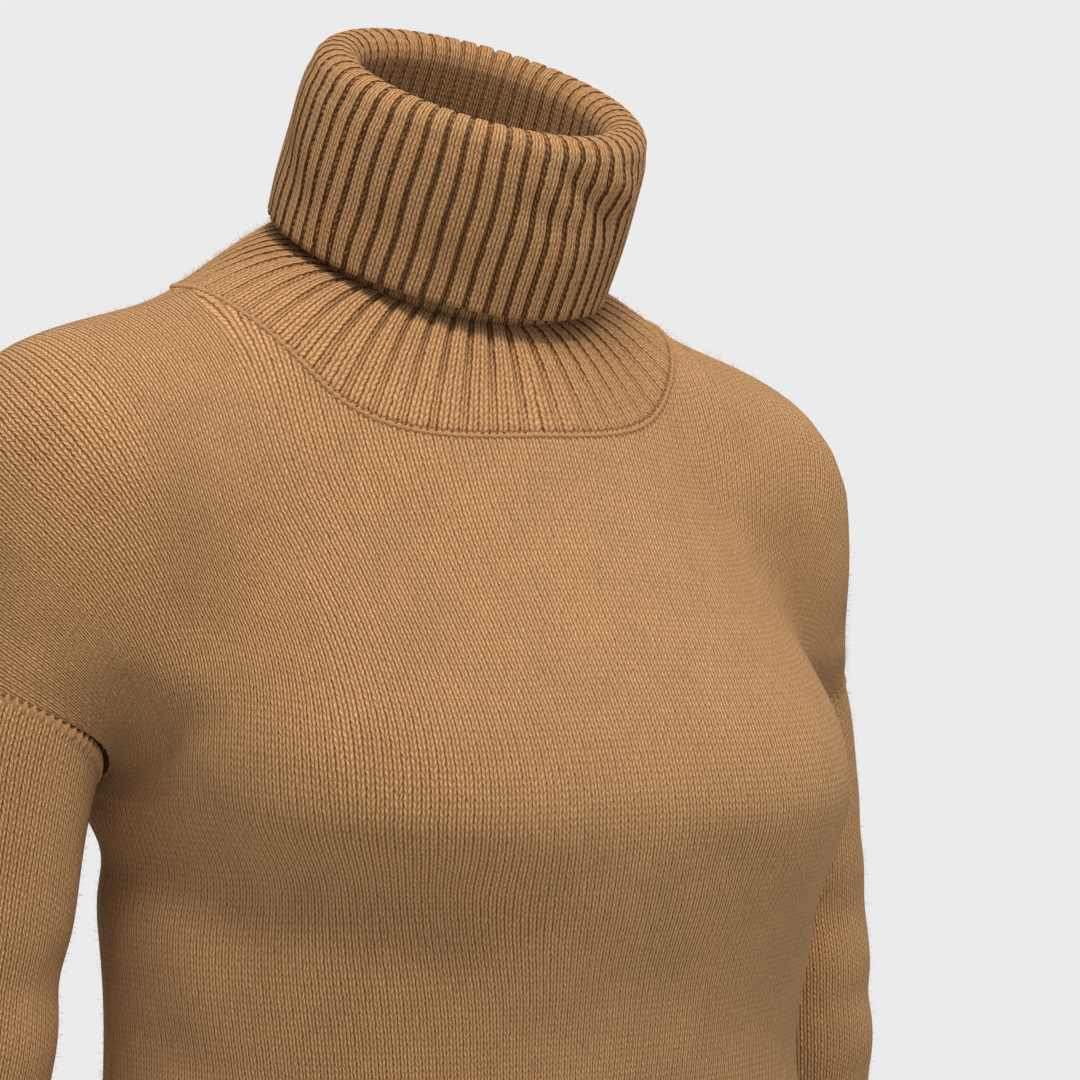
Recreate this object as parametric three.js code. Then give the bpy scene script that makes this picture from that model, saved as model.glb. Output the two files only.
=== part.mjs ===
import * as THREE from "three";

// A roll-neck sweater in camel wool, filled out as it is when worn and empty inside. A front and a
// back panel in stocking stitch are linked at the shoulders and sides, two sleeves are set low on
// the arm, and the collar, hem and cuffs are ribbed bands. The collar is one tube, folded over once.
// Sizes are in millimetres and +Z is up. The wearer faces -Y, and the wearer's left is +X. The
// origin is the middle of the neck at the height of the shoulders.

// Cloth
const JERSEY = 2.8; // thickness of the stocking-stitch panels
const RIB_WALL = 4.6; // thickness of the collar between its ribs
const BAND_WALL = 3.0; // thickness of the hem and cuffs between their ribs
const LINK_GAP = 0.3; // space between two pieces where they are linked
const SLEEVE_GAP = 0.7; // the same at the armhole, measured straight down

// Body
const HEM_TOP = -525; // height where the panels meet the hem band
const HEM_BOTTOM = -590;
const UNDERARM = -226; // height of the lowest point of the armhole
const ARMHOLE_RISE = 48; // the armhole is this much higher on the outside of the arm
const ARMHOLE_CURVE = 0.65; // how quickly the armhole rises away from the underarm
const NECK_HALF_WIDTH = 124; // the neckline, seen from above
const NECK_FRONT = 101;
const NECK_BACK = 78;
const NECK_MIDDLE = 12; // the shoulder seams meet the neckline this far back
const NECK_SKEW = 0.02; // the neckline hangs this share lower on the wearer's right
const NECK_SQUARE = 2.25; // of its front half: 2 is an ellipse, and more is boxier

// Shape that the body's cloth takes: a level of the trunk for each row. side is how far back the
// side seam and the shoulder ridge lie, and middle is where the outline is widest. front and back are
// measured from middle. An outline with square 2 is an ellipse, and a larger value is boxier.
const BODY_LEVELS = [
  { z: 25, half: 60, front: 45, back: 50, middle: 25, side: 12, square: 2.0 },
  { z: 0, half: 98, front: 68, back: 74, middle: 22, side: 12, square: 2.0 },
  { z: -30, half: 126, front: 82, back: 88, middle: 14, side: 12, square: 2.0 },
  { z: -62, half: 140, front: 90, back: 101, middle: 5, side: 12, square: 2.0 },
  { z: -110, half: 155, front: 107, back: 116, middle: -6, side: 14, square: 2.2 },
  { z: -160, half: 166, front: 133, back: 127, middle: -16, side: 20, square: 2.5 },
  { z: -195, half: 170, front: 149, back: 131, middle: -21, side: 25, square: 2.8 },
  { z: -226, half: 170, front: 155, back: 128, middle: -22, side: 28, square: 2.8 },
  { z: -260, half: 170, front: 146, back: 122, middle: -22, side: 25, square: 2.55 },
  { z: -300, half: 169, front: 131, back: 117, middle: -20, side: 20, square: 2.35 },
  { z: -350, half: 169, front: 127, back: 115, middle: -18, side: 16, square: 2.3 },
  { z: -450, half: 172, front: 125, back: 120, middle: -15, side: 10, square: 2.3 },
  { z: -530, half: 174, front: 121, back: 123, middle: -12, side: 7, square: 2.3 },
  { z: -600, half: 174, front: 119, back: 121, middle: -12, side: 6, square: 2.3 },
];

// The arm's tube, one row for each level: the middle of the tube and its half sizes.
const ARM_LEVELS = [
  { z: -106, x: 172, y: 15, wide: 51, deep: 56 },
  { z: -150, x: 190, y: 21, wide: 48, deep: 58 },
  { z: -194, x: 209, y: 27, wide: 46, deep: 60 },
  { z: -235, x: 219, y: 31, wide: 43, deep: 59 },
  { z: -280, x: 226, y: 35, wide: 43, deep: 57 },
  { z: -330, x: 233, y: 39, wide: 43, deep: 55 },
  { z: -385, x: 240, y: 42, wide: 44, deep: 52 },
  { z: -450, x: 245, y: 36, wide: 44, deep: 50 },
  { z: -520, x: 249, y: 20, wide: 43, deep: 47 },
  { z: -562, x: 251, y: 8, wide: 40, deep: 43 },
  { z: -585, x: 252, y: 2, wide: 31, deep: 33 },
  { z: -655, x: 256, y: -18, wide: 30, deep: 31 },
];
const ARM_DOME = 53; // height of the rounded shoulder above the first row
const SLEEVE_END = -585; // height where the sleeve meets its cuff
const CUFF_END = -655;

// The slope from the neck to the shoulder's end, as a rounded bar.
const SHOULDER_INNER = new THREE.Vector3(45, 9, -58);
const SHOULDER_OUTER = new THREE.Vector3(174, 15, -106);
const SHOULDER_INNER_RADIUS = 54;
const SHOULDER_OUTER_RADIUS = 56;
const NECK_BLEND = 40; // how softly the cloth bridges the trunk and the shoulder
const ARM_BLEND = 66; // how softly it bridges the trunk and the arm
const UNDERARM_BLEND = 10; // the bridge is this tight at the underarm
const ARM_BLEND_TOP = -170; // and softest from this height up

// Largest soft folds of the body: each is a trough from one turn and height to another. A turn is in
// degrees round the body, 0 at the front, 90 on the wearer's left side and 180 at the back.
const BODY_FOLDS = [
  { turn: -58, z: -254, toTurn: -28, toZ: -266, width: 30, depth: 11 },
  { turn: -100, z: -240, toTurn: -72, toZ: -252, width: 22, depth: 7 },
  { turn: 76, z: -240, toTurn: 50, toZ: -268, width: 18, depth: 5 },
  { turn: 30, z: -330, toTurn: 62, toZ: -352, width: 26, depth: 4 },
  { turn: -20, z: -420, toTurn: -64, toZ: -452, width: 30, depth: 5 },
  { turn: 104, z: -246, toTurn: 140, toZ: -286, width: 20, depth: 6 },
  { turn: -106, z: -250, toTurn: -136, toZ: -300, width: 22, depth: 6 },
  { turn: 156, z: -330, toTurn: 204, toZ: -344, width: 34, depth: 7 },
  { turn: 120, z: -440, toTurn: 166, toZ: -462, width: 30, depth: 5 },
];
const TURN_ARC = 2.6; // millimetres of cloth for each degree of turn

// Largest soft folds of each sleeve: a trough across the tube at a height, deepest at one turn, in
// degrees from the inside of the arm round by the front.
const SLEEVE_FOLDS = [
  { z: -300, turn: 60, width: 16, depth: 3.5 },
  { z: -392, turn: 96, width: 15, depth: 5 },
  { z: -424, turn: 74, width: 13, depth: 4 },
  { z: -536, turn: 150, width: 12, depth: 3.5 },
];

// Stance: the wearer's right shoulder is a little higher than the left one, and the neck follows.
const STANCE_TILT = THREE.MathUtils.degToRad(4.4);
const STANCE_LIFT = 7; // both shoulders stand this much higher
const STANCE_PIVOT = -40; // height that the shoulders tilt about
const STANCE_FROM = -330; // the body is straight below this height

// Collar
const COLLAR_RIBS = 52;
const COLLAR_LEAN = THREE.MathUtils.degToRad(21); // the neck leans forward by this much
const COLLAR_CENTRE = new THREE.Vector3(0, 5, -3); // where the upright tube starts
const STAND_RADIUS = 65.5; // middle of the wall that stands up
const CUFF_RADIUS = 75; // middle of the wall that is turned down
const FOLD_HEIGHT = 86; // centre of the fold, along the tube from its start
const CUFF_EDGE = 14; // the turned-down edge, along the tube from its start
const FOLD_OUT = 0.5; // the fold's middle rings, as shares of its radius
const FOLD_UP = 0.87;
const STAND_TOP = 60; // radius of the upright part where it reaches the fold
const BASE_TOP = 4; // end of the flared base, along the tube from its start
const BASE_SHARE = 0.7; // the flared base is fullest at this share of its way to the tube
const BASE_RISE = 11; // and stands this much above the straight way there
const COLLAR_RELIEF = 2.6; // height of a collar rib above its groove

// Bands
const HEM_RIBS = 96;
const CUFF_RIBS = 20;
const BAND_RELIEF = 1.8;
const SEAM_RELIEF = 0.4; // the ribs of a band are almost flat where it is linked

// How finely each piece is divided
const NECK_COLUMNS = 7; // along a quarter of the neckline
const SHOULDER_COLUMNS = 8; // along a shoulder seam
const LOWER_ROWS = 8; // from the hem to the underarm
const UPPER_ROWS = 10; // from the underarm to the shoulder
const SLEEVE_ROWS = 11;
const SLANT_SHARE = 0.55; // the slant of the armhole dies out over this share of the sleeve
const SEAM_SHARE = 0.15; // the sleeve's folds begin over this share of it
const PANEL_COLUMNS = NECK_COLUMNS + SHOULDER_COLUMNS; // from the centre line of a panel to its edge
const SHOULDER_SPACING = 1.1; // the columns of a shoulder seam widen towards its end
const FOLD_FADE = 0.75; // folds fade out from this share of a panel to the armhole
const FOLD_FADE_HEIGHT = 40; // from this far below the underarm up
const EDGE_FROM = 0.7; // from this share across, a panel's cloth is drawn to its seam
const NORMAL_FROM = 0.85; // from this share across, its thickness turns with the seam
const NECK_SEARCH_TOP = 60; // the neckline lies between these heights
const NECK_SEARCH_BOTTOM = -140;
const SEAM_DROOP = 0.25; // how much the cloth faces down at the armhole seam
const SEARCH_STEPS = 26; // halvings in a search for the cloth along a line
const SETTLE_STEPS = 12; // steps of a point that settles onto the shape
const SETTLE_SHARE = 0.7; // share of its depth that each step takes

// Reads a table of levels at height z, on a smooth curve through each column.
function readLevel(table, z) {
  const last = table.length - 1;
  let i = 0;
  while (i < last - 1 && z < table[i + 1].z) i += 1;
  const span = table[i + 1].z - table[i].z;
  const t = THREE.MathUtils.clamp((z - table[i].z) / span, 0, 1);
  const level = {};
  for (const column of Object.keys(table[0])) {
    const slope = (k) => {
      const before = table[Math.max(k - 1, 0)];
      const after = table[Math.min(k + 1, last)];
      return (span * (after[column] - before[column])) / (after.z - before.z);
    };
    const start = table[i][column];
    const end = table[i + 1][column];
    const bend = (t - 2) * t * t + t;
    const lean = (t - 1) * t * t;
    const share = t * t * (3 - 2 * t);
    level[column] = start + share * (end - start) + bend * slope(i) + lean * slope(i + 1);
  }
  return level;
}

// The smaller of two depths, rounded off where they differ by less than reach.
function softMin(a, b, reach) {
  const overlap = Math.max(reach - Math.abs(a - b), 0) / reach;
  return Math.min(a, b) - (overlap * overlap * reach) / 4;
}

// A share that rises smoothly from 0 to 1 as value goes from one end to the other.
function ease(value, from, to) {
  return THREE.MathUtils.smoothstep(value, from, to);
}

// Depth of a point outside the trunk alone, negative inside it. Each level is a rounded oval.
function trunkDepth(point) {
  const trunk = readLevel(BODY_LEVELS, point.z);
  const reach = point.y < trunk.middle ? trunk.front : trunk.back;
  const across = (Math.abs(point.x) / trunk.half) ** trunk.square;
  const along = (Math.abs(point.y - trunk.middle) / reach) ** trunk.square;
  return ((across + along) ** (1 / trunk.square) - 1) * 0.5 * (trunk.front + trunk.back);
}

// Depth of a point outside the shape that the panels take: the trunk, the slope of the shoulder and
// the top of the arm, bridged softly.
function shapeDepth(point) {
  const mirrored = new THREE.Vector3(Math.abs(point.x), point.y, point.z);
  const bar = SHOULDER_OUTER.clone().sub(SHOULDER_INNER);
  const place = mirrored.clone().sub(SHOULDER_INNER).dot(bar) / bar.lengthSq();
  const out = THREE.MathUtils.clamp(place, 0, 1);
  const radius = THREE.MathUtils.lerp(SHOULDER_INNER_RADIUS, SHOULDER_OUTER_RADIUS, out);
  const shoulderDepth = mirrored.distanceTo(SHOULDER_INNER.clone().addScaledVector(bar, out)) - radius;

  const armTop = ARM_LEVELS[0].z;
  const arm = readLevel(ARM_LEVELS, Math.min(point.z, armTop));
  const dome = Math.max(point.z - armTop, 0) / ARM_DOME;
  const across = (mirrored.x - arm.x) / arm.wide;
  const along = (point.y - arm.y) / arm.deep;
  const armDepth = (Math.hypot(across, along, dome) - 1) * arm.wide;

  const armBlend = THREE.MathUtils.lerp(UNDERARM_BLEND, ARM_BLEND, ease(point.z, UNDERARM, ARM_BLEND_TOP));
  return softMin(softMin(trunkDepth(point), shoulderDepth, NECK_BLEND), armDepth, armBlend);
}

// Direction straight out of a shape at a point, from its depth a little way along each axis.
function outOf(shape, point) {
  const step = 1.5;
  const normal = new THREE.Vector3();
  for (const axis of ["x", "y", "z"]) {
    const ahead = point.clone();
    const behind = point.clone();
    ahead[axis] += step;
    behind[axis] -= step;
    normal[axis] = shape(ahead) - shape(behind);
  }
  return normal.normalize();
}

// How far the body's soft folds press the cloth in at a turn and height.
function bodyFold(turn, z) {
  let depth = 0;
  for (const fold of BODY_FOLDS) {
    const start = new THREE.Vector2(0, fold.z);
    const end = new THREE.Vector2((fold.toTurn - fold.turn) * TURN_ARC, fold.toZ);
    const offset = THREE.MathUtils.euclideanModulo(turn - fold.turn + 180, 360) - 180;
    const place = new THREE.Vector2(offset * TURN_ARC, z);
    const line = end.clone().sub(start);
    const t = THREE.MathUtils.clamp(place.clone().sub(start).dot(line) / line.lengthSq(), 0, 1);
    const distance = place.distanceTo(start.addScaledVector(line, t)) / fold.width;
    depth += fold.depth * Math.exp(-distance * distance);
  }
  return depth;
}

// A point of the trunk on a level ray from the middle of the body, in degrees of turn.
function trunkPoint(turn, z) {
  const angle = THREE.MathUtils.degToRad(turn);
  const trunk = readLevel(BODY_LEVELS, z);
  const start = new THREE.Vector3(0, trunk.side, z);
  const ray = new THREE.Vector3(Math.sin(angle), -Math.cos(angle), 0);
  let inside = 0;
  let outside = 2 * trunk.half;
  for (let step = 0; step < SEARCH_STEPS; step += 1) {
    const middle = (inside + outside) / 2;
    if (trunkDepth(start.clone().addScaledVector(ray, middle)) < 0) inside = middle;
    else outside = middle;
  }
  return start.addScaledVector(ray, inside);
}

// Moves a point straight onto the shape that the panels take.
function ontoShape(point) {
  const placed = point.clone();
  for (let step = 0; step < SETTLE_STEPS; step += 1) {
    placed.addScaledVector(outOf(shapeDepth, placed), -SETTLE_SHARE * shapeDepth(placed));
  }
  return placed;
}

// A point on the neckline, at an angle from the front, dropped onto the cloth from above.
function necklinePoint(angle) {
  const isFront = Math.cos(angle) > 0;
  const power = isFront ? 2 / NECK_SQUARE : 1;
  const rounded = (value) => Math.sign(value) * Math.abs(value) ** power;
  const skew = isFront ? 1 - NECK_SKEW * Math.sin(2 * angle) : 1;
  const reach = isFront ? NECK_FRONT : NECK_BACK;
  const x = skew * NECK_HALF_WIDTH * rounded(Math.sin(angle));
  const y = NECK_MIDDLE - skew * reach * rounded(Math.cos(angle));
  let above = NECK_SEARCH_TOP;
  let below = NECK_SEARCH_BOTTOM;
  for (let step = 0; step < SEARCH_STEPS; step += 1) {
    const middle = (above + below) / 2;
    if (shapeDepth(new THREE.Vector3(x, y, middle)) > 0) above = middle;
    else below = middle;
  }
  return new THREE.Vector3(x, y, below);
}

// A point on the wearer's left armhole seam. The angle starts at the underarm and goes round by the front.
function armholePoint(angle) {
  const across = (1 - Math.cos(angle)) / 2;
  const z = UNDERARM + ARMHOLE_RISE * across ** ARMHOLE_CURVE;
  return armPoint(angle, z, 0);
}

// A point on the wearer's left sleeve at an angle and height, moved in by inset.
function armPoint(angle, z, inset) {
  const arm = readLevel(ARM_LEVELS, z);
  const x = arm.x - (arm.wide - inset) * Math.cos(angle);
  const y = arm.y - (arm.deep - inset) * Math.sin(angle);
  return new THREE.Vector3(x, y, z);
}

// Turn of a point round the body, in degrees from the front by the wearer's left.
function turnAt(point) {
  const side = readLevel(BODY_LEVELS, point.z).side;
  return THREE.MathUtils.radToDeg(Math.atan2(point.x, side - point.y));
}

// A point of one half of a panel before it settles onto the shape. column goes from the centre line
// to the edge and row from the hem to the shoulder, and hand is the half: 1 is the wearer's left and -1
// the right, which is built on the left and mirrored. Above the underarm it is a sheet blended from its
// four sides: the centre line, the neckline with the shoulder seam, the armhole and the underarm row.
function panelPoint(column, row, facing, hand) {
  const across = column / PANEL_COLUMNS;
  const turn = facing > 0 ? 90 * across : 180 - 90 * across;
  if (row <= LOWER_ROWS) return trunkPoint(turn, THREE.MathUtils.lerp(HEM_TOP, UNDERARM, row / LOWER_ROWS));

  const up = (row - LOWER_ROWS) / UPPER_ROWS;
  const neckline = (share) => {
    const point = necklinePoint(hand * (facing > 0 ? share / 2 : 1 - share / 2) * Math.PI);
    return point.setX(Math.abs(point.x));
  };
  const shoulderEnd = armholePoint(Math.PI);
  const centreTop = neckline(0);
  const centreTurn = facing > 0 ? 0 : 180;
  const centre = trunkPoint(centreTurn, THREE.MathUtils.lerp(UNDERARM, centreTop.z, up));
  const edge = armholePoint(facing * up * Math.PI);
  let top = neckline(Math.min(column / NECK_COLUMNS, 1));
  if (column > NECK_COLUMNS) {
    const out = ((column - NECK_COLUMNS) / SHOULDER_COLUMNS) ** SHOULDER_SPACING;
    top = ontoShape(top.lerp(shoulderEnd, out));
  }
  const bottom = trunkPoint(turn, UNDERARM);
  const bottomCentre = trunkPoint(centreTurn, UNDERARM);
  const bottomEdge = armholePoint(0);
  const between = bottom.multiplyScalar(1 - up).addScaledVector(top, up);
  const sides = centre.multiplyScalar(1 - across).addScaledVector(edge, across);
  const corners = bottomCentre.multiplyScalar((1 - up) * (1 - across));
  corners.addScaledVector(bottomEdge, (1 - up) * across);
  corners.addScaledVector(centreTop, up * (1 - across));
  corners.addScaledVector(shoulderEnd, up * across);
  return between.add(sides).sub(corners);
}

// Points of a panel's outer face and of its inner face. facing is 1 for the front and -1 for the back.
function panelFaces(facing) {
  const rows = LOWER_ROWS + UPPER_ROWS;
  const outer = [];
  const inner = [];
  for (let row = 0; row <= rows; row += 1) {
    const outerRow = [];
    const innerRow = [];
    const up = Math.max(row - LOWER_ROWS, 0) / UPPER_ROWS;
    for (let column = -PANEL_COLUMNS; column <= PANEL_COLUMNS; column += 1) {
      const half = Math.abs(column);
      const hand = Math.sign(column) || 1;
      const across = half / PANEL_COLUMNS;
      const place = panelPoint(half, row, facing, hand);
      let point = place.clone();
      if (row > LOWER_ROWS) {
        const seam = armholePoint(facing * up * Math.PI);
        const toSeam = seam.clone().sub(ontoShape(seam));
        point = ontoShape(place).addScaledVector(toSeam, ease(across, EDGE_FROM, 1));
      }
      point.x *= hand;
      const normal = outOf(row > LOWER_ROWS ? shapeDepth : trunkDepth, point);
      if (row >= LOWER_ROWS) {
        const angle = facing * up * Math.PI;
        const seamNormal = new THREE.Vector3(-hand * Math.cos(angle), -Math.sin(angle), -SEAM_DROOP);
        seamNormal.x += hand * (1 - up);
        normal.lerp(seamNormal.normalize(), ease(across, NORMAL_FROM, 1)).normalize();
      }
      if (row === 0) normal.setZ(0).normalize();
      const nearArmhole = ease(across, FOLD_FADE, 1) * ease(point.z, UNDERARM - FOLD_FADE_HEIGHT, UNDERARM);
      point.addScaledVector(normal, -bodyFold(turnAt(point), point.z) * (1 - nearArmhole));
      const isSeam = half === PANEL_COLUMNS || (row === rows && half >= NECK_COLUMNS);
      if (isSeam) point.y -= (facing * LINK_GAP) / 2;
      outerRow.push(point);
      innerRow.push(point.clone().addScaledVector(normal, -JERSEY));
    }
    outer.push(outerRow);
    inner.push(innerRow);
  }
  return { outer, inner };
}

// Takes a point of the level garment to its place in the wearer's stance.
function stancePoint(point) {
  const share = ease(point.z, STANCE_FROM, STANCE_PIVOT);
  const angle = STANCE_TILT * share;
  const above = point.z - STANCE_PIVOT;
  const x = point.x * Math.cos(angle) + above * Math.sin(angle);
  const z = STANCE_PIVOT + above * Math.cos(angle) - point.x * Math.sin(angle) + STANCE_LIFT * share;
  return new THREE.Vector3(x, point.y, z);
}

// A closed wall between two grids of points. A tube's rows close on themselves, and a panel's have
// two free ends. The triangles are turned so that they face out.
function wall(outer, inner, isTube) {
  const rows = outer.length;
  const columns = outer[0].length;
  const points = [...outer.flat(), ...inner.flat()].map(stancePoint);
  const outerAt = (row, column) => row * columns + (column % columns);
  const innerAt = (row, column) => rows * columns + outerAt(row, column);
  const triangles = [];
  const quad = (a, b, c, d) => triangles.push([a, b, c], [a, c, d]);
  const across = isTube ? columns : columns - 1;
  for (let row = 0; row < rows - 1; row += 1) {
    for (let column = 0; column < across; column += 1) {
      const next = column + 1;
      quad(outerAt(row, column), outerAt(row, next), outerAt(row + 1, next), outerAt(row + 1, column));
      quad(innerAt(row, column), innerAt(row + 1, column), innerAt(row + 1, next), innerAt(row, next));
    }
  }
  const top = rows - 1;
  for (let column = 0; column < across; column += 1) {
    quad(innerAt(0, column), innerAt(0, column + 1), outerAt(0, column + 1), outerAt(0, column));
    quad(outerAt(top, column), outerAt(top, column + 1), innerAt(top, column + 1), innerAt(top, column));
  }
  const end = columns - 1;
  for (let row = 0; row < rows - 1 && !isTube; row += 1) {
    quad(outerAt(row, 0), outerAt(row + 1, 0), innerAt(row + 1, 0), innerAt(row, 0));
    quad(innerAt(row, end), innerAt(row + 1, end), outerAt(row + 1, end), outerAt(row, end));
  }
  let volume = 0;
  for (const [a, b, c] of triangles) volume += points[a].dot(points[b].clone().cross(points[c]));
  if (volume < 0) triangles.forEach((triangle) => triangle.reverse());
  const geometry = new THREE.BufferGeometry();
  const position = points.flatMap((point) => point.toArray());
  geometry.setAttribute("position", new THREE.Float32BufferAttribute(position, 3));
  geometry.setIndex(triangles.flat());
  geometry.computeVertexNormals();
  return geometry;
}

// Point at a share of the way round a closed ring of points, on the straight line between two.
function alongRing(ring, share) {
  const place = THREE.MathUtils.euclideanModulo(share, 1) * ring.length;
  const i = Math.floor(place) % ring.length;
  return ring[i].clone().lerp(ring[(i + 1) % ring.length], place - Math.floor(place));
}

// Raises every other point: ribs stand out where the column is even, and grooves sink between them.
function ribRelief(column, height) {
  return column % 2 === 0 ? height / 2 : -height / 2;
}

// How far a sleeve's soft folds press the cloth in.
function sleeveFold(angle, z) {
  let depth = 0;
  for (const fold of SLEEVE_FOLDS) {
    const distance = (z - fold.z) / fold.width;
    const facing = (1 + Math.cos(angle - THREE.MathUtils.degToRad(fold.turn))) / 2;
    depth += fold.depth * facing * facing * Math.exp(-distance * distance);
  }
  return depth;
}

// A sleeve: a tube from the armhole seam, which slants, to level rings above the cuff.
function sleeveGeometry(hand) {
  const columns = 2 * UPPER_ROWS;
  const outer = [];
  const inner = [];
  for (let row = 0; row <= SLEEVE_ROWS; row += 1) {
    const down = row / SLEEVE_ROWS;
    const outerRow = [];
    const innerRow = [];
    for (let column = 0; column < columns; column += 1) {
      const angle = (2 * Math.PI * column) / columns;
      const seamRise = armholePoint(angle).z - UNDERARM;
      const level = THREE.MathUtils.lerp(UNDERARM - SLEEVE_GAP, SLEEVE_END + LINK_GAP, down);
      const z = level + seamRise * (1 - ease(down, 0, SLANT_SHARE));
      const fold = sleeveFold(angle, z) * ease(down, 0, SEAM_SHARE);
      const outerPoint = armPoint(angle, z, fold);
      const innerPoint = armPoint(angle, z, fold + JERSEY);
      outerPoint.x *= hand;
      innerPoint.x *= hand;
      outerRow.push(outerPoint);
      innerRow.push(innerPoint);
    }
    outer.push(outerRow);
    inner.push(innerRow);
  }
  return wall(outer, inner, true);
}

// A ribbed cuff, narrower than the sleeve that it gathers.
function cuffGeometry(hand) {
  const columns = 2 * CUFF_RIBS;
  const heights = [SLEEVE_END, (SLEEVE_END + CUFF_END) / 2, CUFF_END];
  const faces = [1, 0].map((isOuter) =>
    heights.map((z, row) =>
      Array.from({ length: columns }, (_, column) => {
        const angle = (2 * Math.PI * column) / columns;
        const relief = isOuter ? ribRelief(column, row === 0 ? SEAM_RELIEF : BAND_RELIEF) : -BAND_WALL;
        const point = armPoint(angle, z, -relief);
        point.x *= hand;
        return point;
      }),
    ),
  );
  return wall(faces[0], faces[1], true);
}

// The hem band, linked to the lower edges of both panels.
function hemGeometry(bodyRing) {
  const columns = 2 * HEM_RIBS;
  const rings = [
    { z: HEM_TOP - LINK_GAP, pull: 0, relief: SEAM_RELIEF },
    { z: (HEM_TOP + HEM_BOTTOM) / 2, pull: 3, relief: BAND_RELIEF },
    { z: HEM_BOTTOM, pull: 1, relief: BAND_RELIEF },
  ];
  const middle = readLevel(BODY_LEVELS, HEM_TOP).middle;
  const faces = [1, 0].map((isOuter) =>
    rings.map((ring) =>
      Array.from({ length: columns }, (_, column) => {
        const point = alongRing(bodyRing, column / columns);
        const out = new THREE.Vector3(point.x, point.y - middle, 0).normalize();
        const relief = isOuter ? ribRelief(column, ring.relief) : -BAND_WALL;
        return point.addScaledVector(out, relief - ring.pull).setZ(ring.z);
      }),
    ),
  );
  return wall(faces[0], faces[1], true);
}

// Direction along the collar's tube, which leans forward, and the point of a ring round it.
const COLLAR_AXIS = new THREE.Vector3(0, -Math.sin(COLLAR_LEAN), Math.cos(COLLAR_LEAN));
function tubePoint(angle, radius, along) {
  const forward = new THREE.Vector3(0, -Math.cos(COLLAR_LEAN), -Math.sin(COLLAR_LEAN));
  const point = COLLAR_CENTRE.clone().addScaledVector(COLLAR_AXIS, along);
  point.x += radius * Math.sin(angle);
  return point.addScaledVector(forward, radius * Math.cos(angle));
}

// The collar: from the neckline up a flared base and an upright tube, over the fold and down the
// turned-down part. Both faces of the wall are the middle of the path moved out and in. The base
// shows one face and the turned-down part the other, and each has its ribs where it shows.
function collarGeometry() {
  const columns = 2 * COLLAR_RIBS;
  const half = RIB_WALL / 2;
  const seamSteps = 4 * NECK_COLUMNS;
  const seam = [];
  for (let step = 0; step < seamSteps; step += 1) seam.push(necklinePoint((2 * Math.PI * step) / seamSteps));
  const fold = (CUFF_RADIUS - STAND_TOP) / 2;
  const standAt = (along) => THREE.MathUtils.lerp(STAND_RADIUS, STAND_TOP, along / FOLD_HEIGHT);
  // Rings from the neckline to the turned-down edge, and the relief of each face there. base is the
  // share of the way up the flared base. The other rings have a radius and a height along the tube.
  const stations = [
    { base: 0, front: 0.25 * COLLAR_RELIEF, turned: 0 },
    { base: 0.25, front: 0.85 * COLLAR_RELIEF, turned: 0 },
    { base: 0.5, front: COLLAR_RELIEF, turned: 0 },
    { base: 0.75, front: COLLAR_RELIEF, turned: 0 },
    { base: 1, front: 0.4 * COLLAR_RELIEF, turned: 0 },
    { radius: standAt(FOLD_HEIGHT - 34), along: FOLD_HEIGHT - 34, front: 0, turned: 0 },
    { radius: standAt(FOLD_HEIGHT - 8), along: FOLD_HEIGHT - 8, front: 0, turned: 1.4 },
    { radius: STAND_TOP + fold * FOLD_OUT, along: FOLD_HEIGHT + fold * FOLD_UP, front: 0, turned: 2 },
    { radius: CUFF_RADIUS - fold * FOLD_OUT, along: FOLD_HEIGHT + fold * FOLD_UP, front: 0, turned: 2 },
    { radius: CUFF_RADIUS + 1, along: FOLD_HEIGHT - 6, front: 0, turned: COLLAR_RELIEF },
    { radius: CUFF_RADIUS + 2.5, along: FOLD_HEIGHT - 32, front: 0, turned: COLLAR_RELIEF },
    { radius: CUFF_RADIUS + 1, along: CUFF_EDGE + 20, front: 0, turned: COLLAR_RELIEF },
    { radius: CUFF_RADIUS + 1, along: CUFF_EDGE, front: 0, turned: COLLAR_RELIEF },
  ];
  const middle = stations.map((station) =>
    Array.from({ length: columns }, (_, column) => {
      const share = column / columns;
      const angle = 2 * Math.PI * share;
      if (station.base === undefined) return tubePoint(angle, station.radius, station.along);
      const foot = alongRing(seam, share);
      const top = tubePoint(angle, standAt(BASE_TOP), BASE_TOP);
      const inward = top.clone().sub(foot).normalize();
      foot.addScaledVector(outOf(shapeDepth, foot), -half).addScaledVector(inward, 2 * LINK_GAP);
      const bend = foot.clone().lerp(top, BASE_SHARE).add(new THREE.Vector3(0, 0, BASE_RISE));
      return new THREE.QuadraticBezierCurve3(foot, bend, top).getPoint(station.base);
    }),
  );
  const outer = [];
  const inner = [];
  stations.forEach((station, row) => {
    const outerRow = [];
    const innerRow = [];
    middle[row].forEach((point, column) => {
      const before = middle[row][(column + columns - 1) % columns];
      const after = middle[row][(column + 1) % columns];
      const round = after.clone().sub(before);
      const up = middle[Math.min(row + 1, middle.length - 1)][column].clone();
      up.sub(middle[Math.max(row - 1, 0)][column]);
      const out = row === 0 ? outOf(shapeDepth, point) : round.cross(up).normalize();
      outerRow.push(point.clone().addScaledVector(out, half + ribRelief(column, station.front)));
      innerRow.push(point.clone().addScaledVector(out, -half - ribRelief(column, station.turned)));
    });
    outer.push(outerRow);
    inner.push(innerRow);
  });
  return wall(outer, inner, true);
}

// Joins the lower edges of the front and the back in one ring round the body, from the front centre.
function lowerRing(front, back) {
  const half = (front.length - 1) / 2;
  return [...front.slice(half), ...back.slice(1, -1).reverse(), ...front.slice(0, half)];
}

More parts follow.
